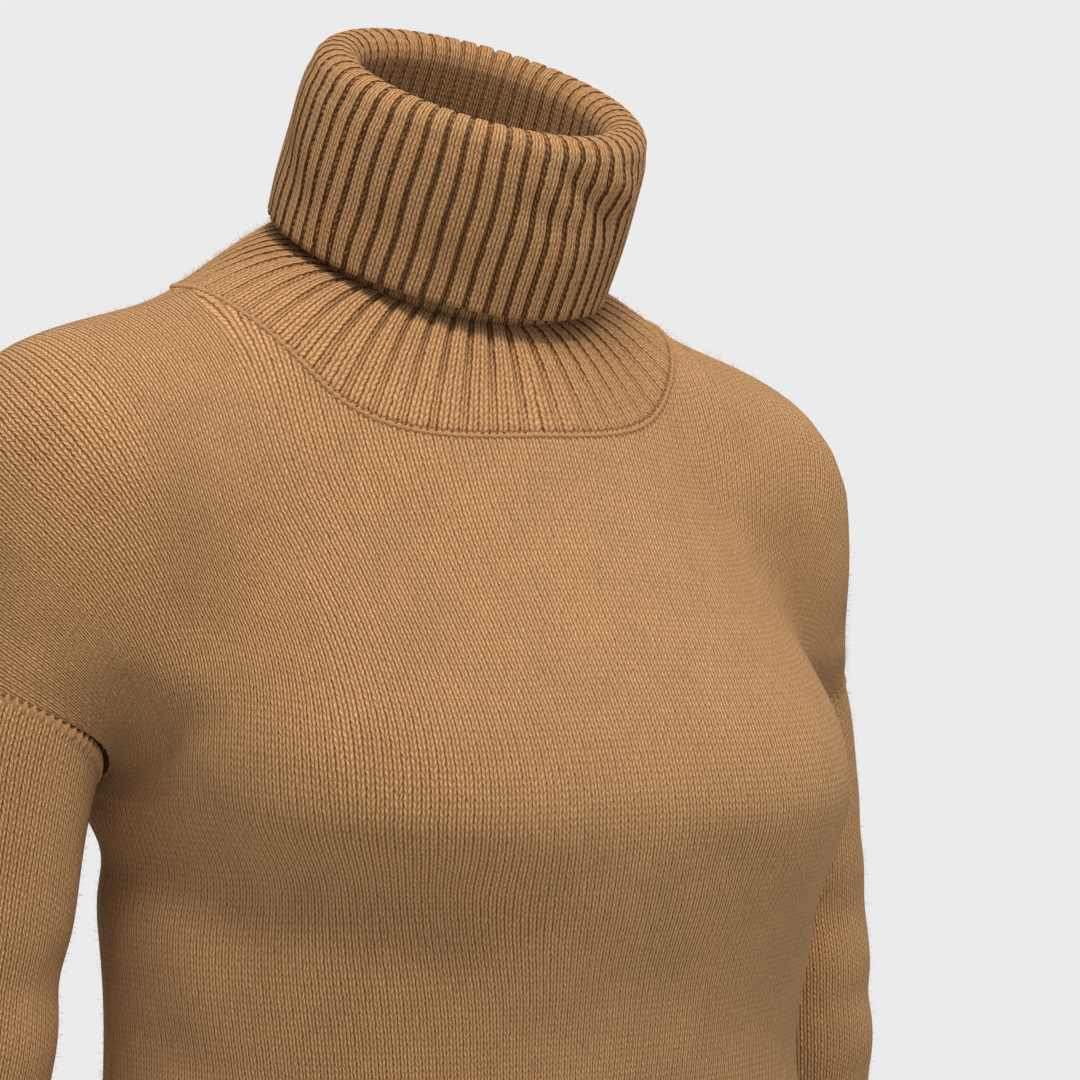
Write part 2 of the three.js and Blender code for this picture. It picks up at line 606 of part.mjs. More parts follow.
const front = panelFaces(1);
const back = panelFaces(-1);
const solids = {
  front: wall(front.outer, front.inner, false),
  back: wall(back.outer, back.inner, false),
  sleeve_left: sleeveGeometry(1),
  sleeve_right: sleeveGeometry(-1),
  collar: collarGeometry(),
  hem: hemGeometry(lowerRing(front.outer[0], back.outer[0])),
  cuff_left: cuffGeometry(1),
  cuff_right: cuffGeometry(-1),
};

// Camel wool: a soft matt knit, a little deeper in tone where it is ribbed.
const jerseyWool = new THREE.MeshStandardMaterial({ color: 0xb58a5c, roughness: 0.95, metalness: 0 });
const ribbedWool = new THREE.MeshStandardMaterial({ color: 0xad8254, roughness: 0.95, metalness: 0 });
const RIBBED = ["collar", "hem", "cuff_left", "cuff_right"];

const sweater = new THREE.Group();
for (const [name, geometry] of Object.entries(solids)) {
  const piece = new THREE.Mesh(geometry, RIBBED.includes(name) ? ribbedWool : jerseyWool);
  piece.name = name;
  sweater.add(piece);
}

export default sweater;
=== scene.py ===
import bpy
import numpy as np
from mathutils import Matrix


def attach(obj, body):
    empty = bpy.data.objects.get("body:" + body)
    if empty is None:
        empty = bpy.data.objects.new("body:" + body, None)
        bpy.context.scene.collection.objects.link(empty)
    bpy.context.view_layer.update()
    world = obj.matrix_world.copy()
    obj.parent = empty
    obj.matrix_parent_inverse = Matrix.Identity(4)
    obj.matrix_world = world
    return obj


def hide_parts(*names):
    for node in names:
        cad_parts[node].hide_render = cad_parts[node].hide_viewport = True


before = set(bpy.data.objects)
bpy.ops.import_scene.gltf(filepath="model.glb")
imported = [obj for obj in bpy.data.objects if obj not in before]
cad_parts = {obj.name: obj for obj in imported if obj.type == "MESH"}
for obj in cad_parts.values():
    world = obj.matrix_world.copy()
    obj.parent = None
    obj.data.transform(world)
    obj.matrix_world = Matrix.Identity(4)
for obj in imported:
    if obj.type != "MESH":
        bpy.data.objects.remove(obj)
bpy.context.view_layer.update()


# Front panel
# Camel lambswool in stocking stitch, knitted to shape on a flat machine: a wide shallow neckline, sloped
# shoulders that run on over the arms, and straight sides. It is linked to the back at the shoulders and
# sides, and the collar, sleeves and hem band are linked to its edges.

JERSEY = 2.8
LINK_GAP = 0.3
HEM_TOP = -525.0
UNDERARM = -226.0
ARMHOLE_RISE = 48.0
ARMHOLE_CURVE = 0.65
NECK_HALF_WIDTH = 124.0
NECK_FRONT = 101.0
NECK_BACK = 78.0
NECK_MIDDLE = 12.0
NECK_SKEW = 0.02
NECK_SQUARE = 2.25
NECK_SHARE = 7 / 15
EDGE_FROM = 0.7
NORMAL_FROM = 0.85
SEAM_DROOP = -0.25
FOLD_FADE = 0.75
FOLD_FADE_HEIGHT = 40.0
TURN_ARC = 2.6
WALE = 3.8
COURSE = 2.9

# The trunk's levels: height, half width, reach to the front and back of the middle, the middle, how far
# back the side seam lies, and squareness.
BODY_LEVELS = np.array([
    [25, 60, 45, 50, 25, 12, 2.0],
    [0, 98, 68, 74, 22, 12, 2.0],
    [-30, 126, 82, 88, 14, 12, 2.0],
    [-62, 140, 90, 101, 5, 12, 2.0],
    [-110, 155, 107, 116, -6, 14, 2.2],
    [-160, 166, 133, 127, -16, 20, 2.5],
    [-195, 170, 149, 131, -21, 25, 2.8],
    [-226, 170, 155, 128, -22, 28, 2.8],
    [-260, 170, 146, 122, -22, 25, 2.55],
    [-300, 169, 131, 117, -20, 20, 2.35],
    [-350, 169, 127, 115, -18, 16, 2.3],
    [-450, 172, 125, 120, -15, 10, 2.3],
    [-530, 174, 121, 123, -12, 7, 2.3],
    [-600, 174, 119, 121, -12, 6, 2.3],
])

# The arm's levels: height, middle of the tube in x and y, and its half sizes.
ARM_LEVELS = np.array([
    [-106, 172, 15, 51, 56],
    [-150, 190, 21, 48, 58],
    [-194, 209, 27, 46, 60],
    [-235, 219, 31, 43, 59],
    [-280, 226, 35, 43, 57],
    [-330, 233, 39, 43, 55],
    [-385, 240, 42, 44, 52],
    [-450, 245, 36, 44, 50],
    [-520, 249, 20, 43, 47],
    [-562, 251, 8, 40, 43],
    [-585, 252, 2, 31, 33],
    [-655, 256, -18, 30, 31],
])

# Soft troughs and ridges of the body: turn and height of one end, the same of the other end, width and
# depth. A turn is in degrees round the body, 0 at the front and 90 on the wearer's left.
BODY_FOLDS = np.array([
    [-56, -257, -28, -268, 27, 16],
    [-98, -242, -72, -252, 21, 9],
    [76, -240, 50, -268, 18, 5],
    [30, -330, 62, -352, 26, 4],
    [-20, -420, -64, -452, 30, 5],
    [104, -246, 140, -286, 20, 6],
    [-106, -250, -136, -300, 22, 6],
    [156, -330, 204, -344, 34, 7],
    [120, -440, 166, -462, 30, 5],
    [-52, -228, -24, -236, 20, -2.5],
    [-44, -292, -14, -300, 18, -2.0],
    [62, -176, 72, -214, 9, 3.0],
    [74, -170, 80, -212, 7, -2.6],
    [-70, -178, -80, -214, 9, 3.0],
    [12, -250, 34, -292, 16, 1.8],
    [-2, -360, 30, -374, 20, 2.2],
    [-72, -330, -50, -350, 16, 2.2],
    [66, -420, 84, -450, 16, 2.4],
    [-30, -492, 10, -500, 16, 1.8],
    [110, -190, 128, -230, 12, 3.0],
    [-112, -188, -130, -228, 12, 3.0],
    [160, -150, 200, -158, 20, 2.2],
    [150, -250, 186, -262, 18, 2.4],
    [-150, -392, -110, -410, 20, 3.0],
    [-156, -480, -120, -496, 16, 2.0],
])


def read_level(table, z):
    """Columns of a table of levels at heights z, on a smooth curve through each: the cubic whose slope
    at a row is that of the chord between its two neighbours."""
    heights = table[:, 0]
    last = len(table) - 1
    z = np.asarray(z, float)
    i = (z[..., None] < heights[1:last]).sum(axis=-1)
    span = heights[i + 1] - heights[i]
    t = np.clip((z - heights[i]) / span, 0, 1)[..., None]

    def slope(k):
        before, after = np.maximum(k - 1, 0), np.minimum(k + 1, last)
        return (span / (heights[after] - heights[before]))[..., None] * (table[after] - table[before])

    start, end = table[i], table[i + 1]
    share, bend, lean = t * t * (3 - 2 * t), (t - 2) * t * t + t, (t - 1) * t * t
    return np.moveaxis(start + share * (end - start) + bend * slope(i) + lean * slope(i + 1), -1, 0)


def ease(value, start, end):
    """Share that rises from 0 at start to 1 at end, level at both: 3t squared less 2t cubed."""
    t = np.clip((value - start) / (end - start), 0, 1)
    return t * t * (3 - 2 * t)


def soft_min(a, b, reach):
    """The smaller of two depths, less a quarter of the squared overlap where they differ by under reach."""
    overlap = np.maximum(reach - np.abs(a - b), 0) / reach
    return np.minimum(a, b) - overlap * overlap * reach / 4


def trunk_depth(p):
    """Depth outside the trunk: at each height a superellipse, scaled by its mean reach."""
    _, half, front, back, middle, _, square = read_level(BODY_LEVELS, p[..., 2])
    reach = np.where(p[..., 1] < middle, front, back)
    across = (np.abs(p[..., 0]) / half) ** square
    along = (np.abs(p[..., 1] - middle) / reach) ** square
    return ((across + along) ** (1 / square) - 1) * 0.5 * (front + back)


def shape_depth(p):
    """Depth outside the shape that the panels take: the trunk, a rounded bar along the shoulder and an
    elliptical arm with a domed top, bridged with soft_min."""
    x, y, z = np.abs(p[..., 0]), p[..., 1], p[..., 2]
    mirrored = np.stack([x, y, z], axis=-1)
    inner, outer = np.array([45.0, 9, -58]), np.array([174.0, 15, -106])
    bar = outer - inner
    t = np.clip((mirrored - inner) @ bar / (bar @ bar), 0, 1)
    shoulder = np.linalg.norm(mirrored - inner - t[..., None] * bar, axis=-1) - (54 + 2 * t)
    _, arm_x, arm_y, wide, deep = read_level(ARM_LEVELS, np.minimum(z, ARM_LEVELS[0, 0]))
    dome = np.maximum(z - ARM_LEVELS[0, 0], 0) / 53
    arm = (np.sqrt(((x - arm_x) / wide) ** 2 + ((y - arm_y) / deep) ** 2 + dome ** 2) - 1) * wide
    blend = 10 + 56 * ease(z, UNDERARM, -170)
    return soft_min(soft_min(trunk_depth(p), shoulder, 40), arm, blend)


def out_of(shape, p):
    """Unit direction out of a shape: its depth's difference over 3 mm along each axis."""
    normal = np.stack([shape(p + 1.5 * axis) - shape(p - 1.5 * axis) for axis in np.eye(3)], axis=-1)
    return normal / np.linalg.norm(normal, axis=-1, keepdims=True)


def onto_shape(p):
    """Points moved along out_of by 0.7 of their depth, twelve times, so that they lie on the shape."""
    for _ in range(12):
        p = p - 0.7 * shape_depth(p)[..., None] * out_of(shape_depth, p)
    return p


def trunk_point(turn, z):
    """Point of the trunk on a level ray at a turn in degrees, found by 26 halvings of its length."""
    turn, z = np.broadcast_arrays(np.radians(turn), np.asarray(z, float))
    side = read_level(BODY_LEVELS, z)[5]
    start = np.stack([np.zeros_like(z), side, z], axis=-1)
    ray = np.stack([np.sin(turn), -np.cos(turn), np.zeros_like(z)], axis=-1)
    inside, outside = np.zeros_like(z), np.full_like(z, 350)
    for _ in range(26):
        middle = (inside + outside) / 2
        is_in = trunk_depth(start + middle[..., None] * ray) < 0
        inside, outside = np.where(is_in, middle, inside), np.where(is_in, outside, middle)
    return start + inside[..., None] * ray


def neckline_point(angle):
    """Point of the neckline: a rounded oval seen from above, a superellipse in front and an ellipse
    behind, dropped onto the shape by 26 halvings of its height."""
    is_front = np.cos(angle) > 0
    power = np.where(is_front, 2 / NECK_SQUARE, 1)
    across = np.sign(np.sin(angle)) * np.abs(np.sin(angle)) ** power
    along = np.sign(np.cos(angle)) * np.abs(np.cos(angle)) ** power
    skew = np.where(is_front, 1 - NECK_SKEW * np.sin(2 * angle), 1)
    x = skew * NECK_HALF_WIDTH * across
    y = NECK_MIDDLE - skew * np.where(is_front, NECK_FRONT, NECK_BACK) * along
    above, below = np.full_like(x, 60), np.full_like(x, -140)
    for _ in range(26):
        middle = (above + below) / 2
        is_out = shape_depth(np.stack([x, y, middle], axis=-1)) > 0
        above, below = np.where(is_out, middle, above), np.where(is_out, below, middle)
    return np.stack([x, y, below], axis=-1)


def arm_point(angle, z, inset):
    """Point of the left sleeve on an ellipse round the arm, moved in by inset. Angle 0 is the inside of
    the arm, and it goes round by the front."""
    _, arm_x, arm_y, wide, deep = read_level(ARM_LEVELS, z)
    x = arm_x - (wide - inset) * np.cos(angle)
    y = arm_y - (deep - inset) * np.sin(angle)
    return np.stack([x, y, z + 0 * x], axis=-1)


def armhole_point(angle):
    """Point of the armhole seam: its height rises from the underarm with a power of the share across."""
    across = (1 - np.cos(angle)) / 2
    return arm_point(angle, UNDERARM + ARMHOLE_RISE * across ** ARMHOLE_CURVE, 0)


def body_fold(p):
    """How far the folds press the body in: for each, its depth times a bell curve of the distance from
    its line, in millimetres of turn and height."""
    side = read_level(BODY_LEVELS, p[..., 2])[5]
    turn = np.degrees(np.arctan2(p[..., 0], side - p[..., 1]))
    total = np.zeros(turn.shape)
    for start_turn, start_z, end_turn, end_z, width, depth in BODY_FOLDS:
        line = np.array([(end_turn - start_turn) * TURN_ARC, end_z - start_z])
        round_off = ((turn - start_turn + 180) % 360 - 180) * TURN_ARC
        offset = np.stack([round_off, p[..., 2] - start_z], axis=-1)
        t = np.clip(offset @ line / (line @ line), 0, 1)
        distance = np.linalg.norm(offset - t[..., None] * line, axis=-1) / width
        total += depth * np.exp(-distance ** 2)
    return total


def half_panel(facing, hand, lower_rows, upper_rows, columns):
    """Outer points, outward directions and stitch counts of half a panel, built on the wearer's left.
    Below the underarm the rows are level. Above it they are a Coons blend of the underarm row, the top
    edge, the centre line and the armhole, settled onto the shape."""
    across = np.arange(columns + 1) / columns
    turn = 90 * across if facing > 0 else 180 - 90 * across
    centre_turn = 0.0 if facing > 0 else 180.0
    z = np.linspace(HEM_TOP, UNDERARM, lower_rows + 1)
    lower = trunk_point(turn[None, :], z[:, None])

    def neckline(share):
        point = neckline_point(hand * (share / 2 if facing > 0 else 1 - share / 2) * np.pi)
        point[..., 0] = np.abs(point[..., 0])
        return point

    up = (np.arange(1, upper_rows + 1) / upper_rows)[:, None, None]
    side = across[None, :, None]
    shoulder_end = armhole_point(np.array(np.pi))
    top = neckline(np.minimum(across / NECK_SHARE, 1))
    out = np.clip((across - NECK_SHARE) / (1 - NECK_SHARE), 0, 1)[:, None] ** 1.1
    top = np.where(out > 0, onto_shape(top + out * (shoulder_end - top)), top)
    bottom = lower[-1]
    centre = trunk_point(centre_turn, UNDERARM + up[:, :, 0] * (top[0, 2] - UNDERARM))
    edge = armhole_point(facing * np.pi * up[:, :, 0])
    blend = (1 - up) * bottom + up * top + (1 - side) * centre + side * edge
    blend -= (1 - up) * ((1 - side) * bottom[0] + side * armhole_point(np.array(0.0)))
    blend -= up * ((1 - side) * top[0] + side * shoulder_end)
    upper = onto_shape(blend) + ease(side, EDGE_FROM, 1) * (edge - onto_shape(edge))

    seam = facing * np.pi * up[:, :, 0]
    outward = 1 - up[:, :, 0] - np.cos(seam)
    seam_normal = np.stack([outward, -np.sin(seam), np.full_like(seam, SEAM_DROOP)], axis=-1)
    seam_normal /= np.linalg.norm(seam_normal, axis=-1, keepdims=True)
    weight = ease(side, NORMAL_FROM, 1)
    upper_normal = (1 - weight) * out_of(shape_depth, upper) + weight * seam_normal
    points = np.concatenate([lower, upper])
    normals = np.concatenate([out_of(trunk_depth, lower), upper_normal])
    normals /= np.linalg.norm(normals, axis=-1, keepdims=True)
    normals[0, :, 2] = 0

    def lengths(grid, axis):
        steps = np.linalg.norm(np.diff(grid, axis=axis), axis=-1)
        first = np.zeros_like(steps[:1] if axis == 0 else steps[:, :1])
        return np.concatenate([first, steps.cumsum(axis=axis)], axis)

    low = lengths(lower[-1:], 1)[0]
    high = np.where(out[:, 0] > 0, NECK_HALF_WIDTH, top[:, 0])
    reach = np.linalg.norm(np.diff(top, axis=0), axis=-1)
    high = high + np.concatenate([[0], np.where(out[1:, 0] > 0, reach, 0).cumsum()])
    rise = np.concatenate([np.zeros(lower_rows + 1), up[:, 0, 0]])[:, None]
    wales = ((1 - rise) * low + rise * high) / WALE
    stitches = np.stack([wales, lengths(points, 0) / COURSE], axis=-1)

    if hand < 0:
        points[..., 0] *= -1
        normals[..., 0] *= -1
        stitches[..., 0] *= -1
    near_armhole = ease(across[None, :], FOLD_FADE, 1)
    near_armhole = near_armhole * ease(points[..., 2], UNDERARM - FOLD_FADE_HEIGHT, UNDERARM)
    points -= (body_fold(points) * (1 - near_armhole))[..., None] * normals
    points[:, -1, 1] -= facing * LINK_GAP / 2
    points[-1, NECK_SHARE * columns <= np.arange(columns + 1), 1] -= facing * LINK_GAP / 2
    points[-1, -1, 1] += facing * LINK_GAP / 2
    return points, normals, stitches


def panel(facing, lower_rows=90, upper_rows=78, columns=105):
    """A whole panel's outer points, inner points, one wall's thickness in, and stitch counts."""
    left = half_panel(facing, 1, lower_rows, upper_rows, columns)
    right = half_panel(facing, -1, lower_rows, upper_rows, columns)
    points, normals, stitches = (
        np.concatenate([b[:, :0:-1], a], axis=1) for a, b in zip(left, right)
    )
    return points, points - JERSEY * normals, stitches


STANCE_TILT = np.radians(4.4)
STANCE_LIFT = 7.0
STANCE_PIVOT = -40.0
STANCE_FROM = -330.0


def stance(p):
    """The wearer's stance: above STANCE_FROM the garment turns about the Y axis through STANCE_PIVOT and
    lifts, both with an eased share of the height."""
    share = ease(p[..., 2], STANCE_FROM, STANCE_PIVOT)
    angle = STANCE_TILT * share
    above = p[..., 2] - STANCE_PIVOT
    x = p[..., 0] * np.cos(angle) + above * np.sin(angle)
    z = above * np.cos(angle) - p[..., 0] * np.sin(angle) + STANCE_LIFT * share + STANCE_PIVOT
    return np.stack([x, p[..., 1], z], axis=-1)


def new_piece(name, points, faces, material, slot):
    """A smooth-shaded object that rides on the body, from points in metres and rows of corners."""
    mesh = bpy.data.meshes.new(name)
    mesh.from_pydata(points.tolist(), [], faces.tolist())
    mesh.polygons.foreach_set("use_smooth", np.ones(len(mesh.polygons), bool))
    mesh.materials.append(material)
    piece = bpy.data.objects.new(name, mesh)
    bpy.context.scene.collection.objects.link(piece)
    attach(piece, "root")
    return piece


def shell(name, outer, inner, stitches, groove, is_tube, material, slot):
    """A closed cloth wall between two grids of points: both faces and a strip round every free edge. The
    stitch counts become its UV map, and groove, from 0 to 1, a vertex attribute: the share of painted
    shade in a rib's grooves. A tube's stitches have one more column than its points."""
    rows, columns = outer.shape[:2]
    count = rows * columns
    index = np.arange(count).reshape(rows, columns)
    if is_tube:
        index = np.concatenate([index, index[:, :1]], axis=1)
    place = np.arange(index.size).reshape(index.shape)

    def corners(grid, flip, shift):
        cells = np.stack([grid[:-1, :-1], grid[:-1, 1:], grid[1:, 1:], grid[1:, :-1]], axis=-1).reshape(-1, 4)
        return (cells[:, ::-1] if flip else cells) + shift

    def strip(line, places, flip):
        cells = np.stack([line[:-1] + count, line[1:] + count, line[1:], line[:-1]], axis=-1)
        spots = np.stack([places[:-1], places[1:], places[1:], places[:-1]], axis=-1)
        return (cells[:, ::-1], spots[:, ::-1]) if flip else (cells, spots)

    parts = [
        (corners(index, False, 0), corners(place, False, 0)),
        (corners(index, True, count), corners(place, True, 0)),
        strip(index[0], place[0], False),
        strip(index[-1], place[-1], True),
    ]
    if not is_tube:
        parts += [strip(index[:, 0], place[:, 0], True), strip(index[:, -1], place[:, -1], False)]
    faces = np.concatenate([part[0] for part in parts])
    spots = np.concatenate([part[1] for part in parts])
    points = stance(np.concatenate([outer.reshape(-1, 3), inner.reshape(-1, 3)])) * 0.001
    a, b, c, d = (points[faces[:, k]] for k in range(4))
    volume = (a * np.cross(b, c)).sum() + (a * np.cross(c, d)).sum()
    if volume < 0:
        faces, spots = faces[:, ::-1], spots[:, ::-1]
    piece = new_piece(name, points, faces, material, slot)
    layer = piece.data.uv_layers.new(name="stitches")
    layer.data.foreach_set("uv", stitches.reshape(-1, 2)[spots.ravel()].astype(np.float32).ravel())
    depth = piece.data.attributes.new("groove", "FLOAT", "POINT")
    both = np.concatenate([np.broadcast_to(g, (rows, columns)).ravel() for g in groove])
    depth.data.foreach_set("value", both.astype(np.float32))
    return piece


def linear(code):
    """Linear colour of an sRGB hex code: the sRGB curve, ((c + 0.055) / 1.055) to the power 2.4."""
    channels = [int(code[i:i + 2], 16) / 255 for i in (0, 2, 4)]
    return [c / 12.92 if c <= 0.04045 else ((c + 0.055) / 1.055) ** 2.4 for c in channels] + [1.0]


def add(tree, kind, inputs=None, **settings):
    """A shader node with its settings, and its inputs as values or as links from other sockets."""
    node = tree.nodes.new(kind)
    for key, value in settings.items():
        setattr(node, key, value)
    for key, value in (inputs or {}).items():
        if isinstance(value, bpy.types.NodeSocket):
            tree.links.new(value, node.inputs[key])
        else:
            node.inputs[key].default_value = value
    return node


def calc(tree, operation, *values):
    """The result of a Math node on values or sockets."""
    return add(tree, "ShaderNodeMath", dict(enumerate(values)), operation=operation).outputs[0]


def mix(tree, share, first, second):
    """A colour between two others."""
    node = add(tree, "ShaderNodeMix", {0: share, 6: first, 7: second}, data_type="RGBA")
    return node.outputs[2]


def knit_wool(name, dark, middle, light, relief):
    """Wool knitted in plain stitches. In each wale two strands slant up and away from its middle, so the
    height is a rounded profile across each strand times one along it. Soft noise in Object coordinates
    gives the fibres, 0.6 mm, the heathered yarn, 2 mm, and the cloth's unevenness, 25 mm. The colour runs
    from dark through middle to light with that height as well as the heather: a painted highlight on the
    crown of each strand and painted shade between strands. The groove attribute paints shade into a
    rib's grooves."""
    material = bpy.data.materials.new(name)
    material.use_nodes = True
    tree = material.node_tree
    tree.nodes.clear()
    uv = add(tree, "ShaderNodeUVMap", uv_map="stitches").outputs[0]
    place = add(tree, "ShaderNodeTexCoord").outputs["Object"]
    fibre = add(tree, "ShaderNodeTexNoise", {"Vector": place, "Scale": 1500.0, "Detail": 2.0}).outputs[0]
    heather = add(tree, "ShaderNodeTexNoise", {"Vector": place, "Scale": 420.0, "Detail": 2.0}).outputs[0]
    uneven = add(tree, "ShaderNodeTexNoise", {"Vector": place, "Scale": 38.0, "Detail": 3.0}).outputs[0]
    axes = add(tree, "ShaderNodeSeparateXYZ", {0: uv})
    sway = calc(tree, "MULTIPLY", calc(tree, "SUBTRACT", heather, 0.5), 0.35)
    wale = calc(tree, "ADD", axes.outputs[0], sway)
    course = calc(tree, "ADD", axes.outputs[1], sway)
    off_middle = calc(tree, "SUBTRACT", calc(tree, "FRACT", wale), 0.5)
    half = calc(tree, "MULTIPLY", calc(tree, "ABSOLUTE", off_middle), 2.0)
    off_strand = calc(tree, "SUBTRACT", calc(tree, "MULTIPLY", half, 2.0), 1.0)
    across = calc(tree, "SUBTRACT", 1.0, calc(tree, "POWER", calc(tree, "ABSOLUTE", off_strand), 2.2))
    slant = calc(tree, "FRACT", calc(tree, "ADD", course, calc(tree, "MULTIPLY", half, -0.85)))
    off_loop = calc(tree, "SUBTRACT", calc(tree, "MULTIPLY", slant, 2.0), 1.0)
    along = calc(tree, "SUBTRACT", 1.0, calc(tree, "POWER", calc(tree, "ABSOLUTE", off_loop), 2.5))
    strand = calc(tree, "MULTIPLY", across, calc(tree, "ADD", 0.42, calc(tree, "MULTIPLY", along, 0.58)))
    between = calc(tree, "POWER", half, 7.0)
    strand = calc(tree, "SUBTRACT", strand, calc(tree, "MULTIPLY", between, 0.35))
    # Painted shade: the groove attribute darkens the colour in a rib's grooves.
    groove = add(tree, "ShaderNodeAttribute", attribute_name="groove").outputs["Fac"]
    # Painted highlight and shade: the strand's height, lighter on each crown and darker between strands, sets
    # the colour along with the yarn's own heather.
    shade = calc(tree, "ADD", calc(tree, "MULTIPLY", strand, 0.75), calc(tree, "MULTIPLY", heather, 0.35))
    shade = calc(tree, "SUBTRACT", shade, calc(tree, "MULTIPLY", groove, 0.75))
    shade = calc(tree, "MULTIPLY_ADD", fibre, 0.3, calc(tree, "SUBTRACT", shade, 0.15))
    low = mix(tree, add(tree, "ShaderNodeClamp", {0: calc(tree, "MULTIPLY", shade, 2.0)}).outputs[0],
              linear(dark), linear(middle))
    high = add(tree, "ShaderNodeClamp", {0: calc(tree, "SUBTRACT", calc(tree, "MULTIPLY", shade, 2.0), 1.0)})
    colour = mix(tree, high.outputs[0], low, linear(light))
    patch = add(tree, "ShaderNodeMapRange", {0: uneven, 1: 0.3, 2: 0.7, 3: 0.94, 4: 1.05}).outputs[0]
    tint = add(tree, "ShaderNodeVectorMath", {0: colour}, operation="SCALE")
    tree.links.new(patch, tint.inputs["Scale"])
    height = calc(tree, "MULTIPLY_ADD", fibre, 0.3, strand)
    bump = add(tree, "ShaderNodeBump", {"Strength": 0.9, "Distance": relief, "Height": height}).outputs[0]
    wool = add(tree, "ShaderNodeBsdfPrincipled", {
        "Base Color": tint.outputs[0], "Roughness": 0.92, "Specular IOR Level": 0.15, "Normal": bump,
        "Sheen Weight": 0.35, "Sheen Roughness": 0.45, "Sheen Tint": linear("E8C79C")})
    add(tree, "ShaderNodeOutputMaterial", {0: wool.outputs[0]})
    return material


# Lambswool jersey: a soft matt heathered yarn, with a painted highlight on the crown of each strand and
# painted shade between strands.
jersey_wool = knit_wool("lambswool_jersey", "5C3D20", "AD7F4F", "D1A677", 0.0009)
front_grid = panel(1)
front = shell("front_panel", *front_grid, (0.0, 0.0), False, jersey_wool, "jersey")
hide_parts("front")


# Back panel
# The same wool and gauge as the front, with a higher, narrower neckline. It is linked to the front along
# the shoulders and the sides.

back_grid = panel(-1)
back = shell("back_panel", *back_grid, (0.0, 0.0), False, jersey_wool, "jersey")
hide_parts("back")


# Sleeves
# Two stocking-stitch tubes, each knitted flat, closed by an underarm seam and linked to the low, slanting
# armhole. They are eased into narrow cuffs.

SLEEVE_END = -585.0
CUFF_END = -655.0
SLEEVE_GAP = 0.7

# Soft folds across each sleeve: height, turn where it is deepest, width and depth.
SLEEVE_FOLDS = np.array([
    [-300, 60, 16, 3.5],
    [-392, 96, 15, 5.0],
    [-424, 74, 13, 4.0],
    [-536, 150, 12, 3.5],
    [-262, 200, 12, 1.8],
    [-345, 130, 10, 1.6],
    [-452, 40, 10, 1.8],
    [-500, 250, 12, 2.0],
    [-560, 30, 8, 1.6],
])


def sleeve(hand, rows=110, columns=96):
    """A sleeve's outer and inner points and stitch counts. Each ring keeps the armhole's slant, which dies
    out with an eased share of the length, and its folds are bell curves of height times a raised cosine
    round the arm."""
    down = (np.arange(rows + 1) / rows)[:, None]
    angle = (2 * np.pi * np.arange(columns) / columns)[None, :]
    level = UNDERARM - SLEEVE_GAP + down * (SLEEVE_END + LINK_GAP - UNDERARM + SLEEVE_GAP)
    z = level + (armhole_point(angle)[..., 2] - UNDERARM) * (1 - ease(down, 0, 0.55))
    fold = np.zeros_like(z)
    for height, turn, width, depth in SLEEVE_FOLDS:
        facing = (1 + np.cos(angle - np.radians(turn))) / 2
        fold += depth * facing ** 2 * np.exp(-((z - height) / width) ** 2)
    fold *= ease(down, 0, 0.15)
    outer, inner = arm_point(angle, z, fold), arm_point(angle, z, fold + JERSEY)
    outer[..., 0] *= hand
    inner[..., 0] *= hand
    steps = np.linalg.norm(np.diff(outer, axis=0), axis=-1)
    courses = np.concatenate([np.zeros((1, columns)), -steps.cumsum(axis=0)]) / COURSE
    courses = np.concatenate([courses, courses[:, :1]], axis=1)
    wales = 84 * np.arange(columns + 1)[None, :] / columns + 0 * courses
    return outer, inner, np.stack([wales, courses], axis=-1)


sleeve_grids = {"left": sleeve(1), "right": sleeve(-1)}
for side_name, grid in sleeve_grids.items():
    tube = shell(f"sleeve_{side_name}_tube", *grid, (0.0, 0.0), True, jersey_wool, "jersey")
    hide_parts(f"sleeve_{side_name}")


# Roll collar
# One tube in two by two rib, linked to the neckline, which flares into its base, rises up the neck and is
# turned down once over itself. Both faces show: the right side at the base and inside the turned-down part.

RIB_WALL = 4.6
COLLAR_RIBS = 52
COLLAR_LEAN = np.radians(21)
STAND_RADIUS = 65.5
CUFF_RADIUS = 75.0
FOLD_HEIGHT = 86.0
CUFF_EDGE = 14.0
STAND_TOP = 60.0
BASE_TOP = 4.0
BASE_SHARE = 0.7
BASE_RISE = 11.0
COLLAR_RELIEF = 2.6

# Dents of the turned-down part: angle and height along the tube at one end, the same at the other end,
# width and depth.
COLLAR_DENTS = np.array([
    [2, 78, 24, 60, 7, 3.2],
    [20, 82, 34, 70, 5, -1.6],
    [-10, 64, 10, 56, 8, 1.8],
    [-60, 40, -30, 30, 12, 1.4],
    [60, 60, 84, 40, 9, 2.0],
    [150, 70, 190, 58, 12, 2.2],
    [-120, 50, -90, 34, 12, 1.8],
])


def rib_profile(share):
    """Height across a rib, 1 on its crown and -1 in its groove, and the groove's share, which also sets the
    painted shade there. share runs from -0.5 to 0.5, and the groove is a bell curve at both ends."""
    groove = np.exp(-((0.5 - np.abs(share)) / 0.115) ** 2)
    split = 0.14 * np.exp(-(share / 0.06) ** 2)
    return 1 - 2 * groove - split, groove


def rib_wales(columns, per_rib):
    """Stitch count round a ribbed band: each rib has two wales on its crown and one across its groove."""
    rib, share = np.divmod(np.arange(columns + 1) / per_rib + 0.5, 1)
    share = share - 0.5
    return 3 * rib + np.where(np.abs(share) > 0.45, 1.5 * np.sign(share), share / 0.36)


def tube_point(angle, radius, along):
    """Point round the collar's leaning tube, at a distance along its axis."""
    axis = np.array([0, -np.sin(COLLAR_LEAN), np.cos(COLLAR_LEAN)])
    forward = np.array([0, -np.cos(COLLAR_LEAN), -np.sin(COLLAR_LEAN)])
    point = np.array([0.0, 5, -3]) + along[..., None] * axis + (radius * np.cos(angle))[..., None] * forward
    point[..., 0] += radius * np.sin(angle)
    return point


